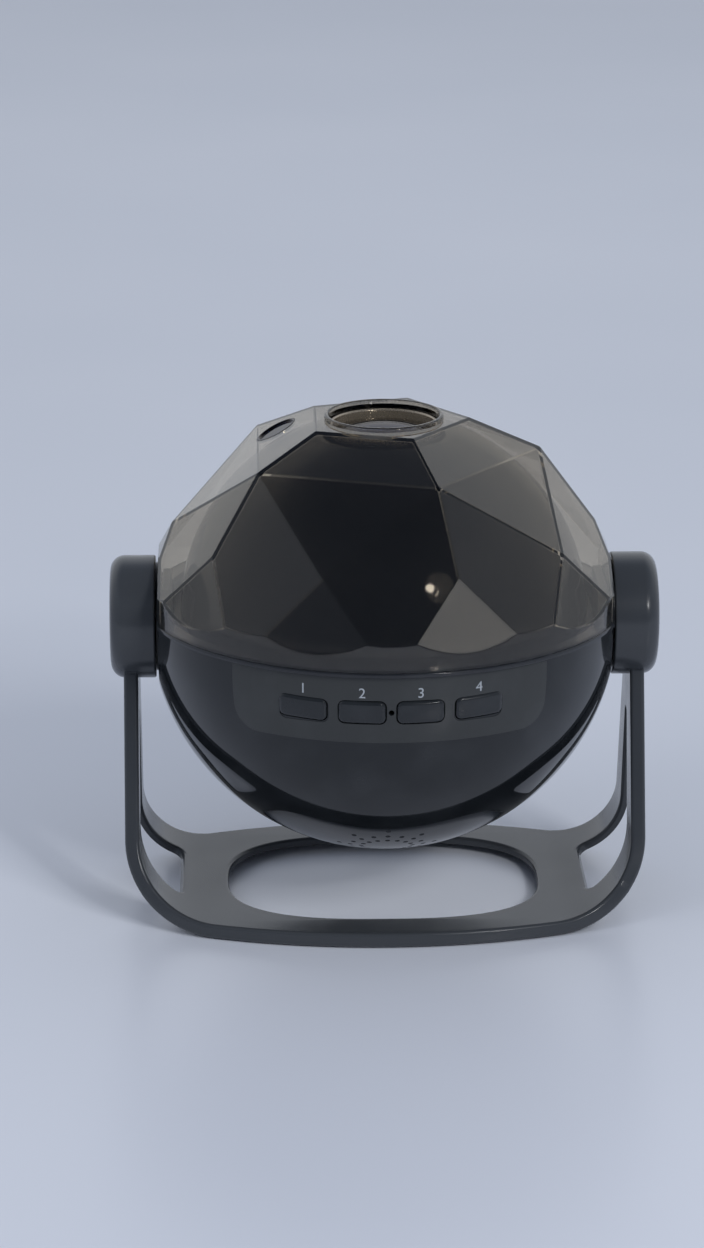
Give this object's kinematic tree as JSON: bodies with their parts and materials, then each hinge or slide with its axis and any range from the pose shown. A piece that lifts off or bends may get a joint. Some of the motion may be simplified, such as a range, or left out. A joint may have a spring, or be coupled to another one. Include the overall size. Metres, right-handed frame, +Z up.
{
  "type": "star and nebula projector on a tilting yoke stand",
  "caption": "Ball-shaped light projector with a faceted smoked dome and a smooth lower shell, tilting between the legs of a bent yoke stand.",
  "frame": {"origin": "on the floor, under the centre of the ball, which is the middle of the hub axis", "axes": "+Z up, X along the hub axis, the buttons face -Y"},
  "size_m": [0.151, 0.133, 0.1396],
  "materials": {
    "yoke_matte": "fine satin texture",
    "cap_matte": "fine satin texture",
    "foot_rubber": "matt moulded",
    "spring_steel": "plain rolled",
    "slide_plastic": "plain moulded",
    "collar_black": "matt moulded",
    "screw_steel": "zinc plated",
    "shell_gloss": "polished mould",
    "trim_gloss": "polished mould",
    "dome_smoke": "polished, smoked clear",
    "inner_gloss": "polished mould",
    "frame_black": "plain moulded",
    "button_black": "satin",
    "board_green": "solder mask",
    "switch_black": "plain moulded",
    "sink_alu": "extruded",
    "led_board_white": "white solder mask",
    "led_yellow": "silicone over phosphor",
    "optic_clear": "polished clear",
    "lens_dark": "polished, coated",
    "bezel_gloss": "polished mould",
    "gear_white": "plain moulded",
    "motor_can": "drawn can",
    "laser_brass": "turned",
    "chip_black": "moulded",
    "socket_steel": "tin plated",
    "magnet_dark": "ferrite",
    "cone_paper": "pressed paper"
  },
  "bodies": {
    "stand": {"yoke_stand": "yoke_matte", "stand_feet": "foot_rubber", "hub_cap_left": "cap_matte", "hub_cap_right": "cap_matte", "wave_washers": "spring_steel"},
    "head": {"pivot_stub_left": "slide_plastic", "pivot_stub_right": "slide_plastic", "friction_collar_left": "collar_black", "friction_collar_right": "collar_black", "pivot_washers": "screw_steel", "pivot_screws": "screw_steel", "lower_shell": "shell_gloss", "trim_ring": "trim_gloss", "faceted_dome": "dome_smoke", "inner_dome": "inner_gloss", "mid_frame": "frame_black", "frame_screws": "screw_steel", "button_board": "board_green", "button_switches": "switch_black", "remote_receiver": "switch_black", "heat_sink": "sink_alu", "led_board": "led_board_white", "led_emitters": "led_yellow", "optics_barrel": "frame_black", "condenser_lens": "optic_clear", "plate_holder": "frame_black", "ripple_plate": "optic_clear", "nebula_motor": "motor_can", "lens_bezel": "bezel_gloss", "projection_lens": "lens_dark", "star_window": "lens_dark", "star_bracket": "frame_black", "laser_module": "laser_brass", "star_motor": "motor_can", "main_board": "board_green", "board_chips": "chip_black", "board_screws": "screw_steel", "power_socket": "socket_steel", "speaker_basket": "motor_can", "speaker_magnet": "magnet_dark", "speaker_cone": "cone_paper"},
    "power_button": {"power_button": "button_black"},
    "nebula_button": {"nebula_button": "button_black"},
    "star_button": {"star_button": "button_black"},
    "lamp_button": {"lamp_button": "button_black"},
    "nebula_rotor": {"nebula_wheel": "gear_white", "nebula_disc": "optic_clear", "disc_retainer": "gear_white"},
    "nebula_drive": {"motor_shaft": "screw_steel", "motor_pinion": "gear_white"},
    "star_rotor": {"star_wheel": "gear_white", "star_grating": "optic_clear"},
    "star_drive": {"star_pinion": "gear_white"}
  },
  "joints": [
    {"name": "head_tilt", "type": "hinge", "parent": "stand", "child": "head", "pos_m": [0, 0, 0.082], "axis": [1, 0, 0], "continuous": true},
    {"name": "power_press", "type": "slide", "parent": "head", "child": "power_button", "axis": [0, 0.9943, 0.1063], "range_m": [0, 0.0007], "stiffness_N_per_m": 700, "springref_m": -0.0008},
    {"name": "nebula_press", "type": "slide", "parent": "head", "child": "nebula_button", "axis": [0, 0.9943, 0.1063], "range_m": [0, 0.0007], "stiffness_N_per_m": 700, "springref_m": -0.0008},
    {"name": "star_press", "type": "slide", "parent": "head", "child": "star_button", "axis": [0, 0.9943, 0.1063], "range_m": [0, 0.0007], "stiffness_N_per_m": 700, "springref_m": -0.0008},
    {"name": "lamp_press", "type": "slide", "parent": "head", "child": "lamp_button", "axis": [0, 0.9943, 0.1063], "range_m": [0, 0.0007], "stiffness_N_per_m": 700, "springref_m": -0.0008},
    {"name": "nebula_spin", "type": "hinge", "parent": "head", "child": "nebula_rotor", "pos_m": [0, 0, 0.1043], "axis": [0, 0, 1], "continuous": true},
    {"name": "nebula_drive_spin", "type": "hinge", "parent": "head", "child": "nebula_drive", "pos_m": [0.01867, 0.01867, 0.1043], "axis": [0, 0, 1], "continuous": true},
    {"name": "star_spin", "type": "hinge", "parent": "head", "child": "star_rotor", "pos_m": [-0.02945, 0.0095, 0.13271], "axis": [-0.4693, 0, 0.883], "continuous": true},
    {"name": "star_drive_spin", "type": "hinge", "parent": "head", "child": "star_drive", "pos_m": [-0.02945, 0, 0.13271], "axis": [-0.4693, 0, 0.883], "continuous": true}
  ],
  "couplings": [
    {"joint": "nebula_drive_spin", "follows": "nebula_spin", "ratio": -4.5},
    {"joint": "star_drive_spin", "follows": "star_spin", "ratio": -2.8}
  ]
}
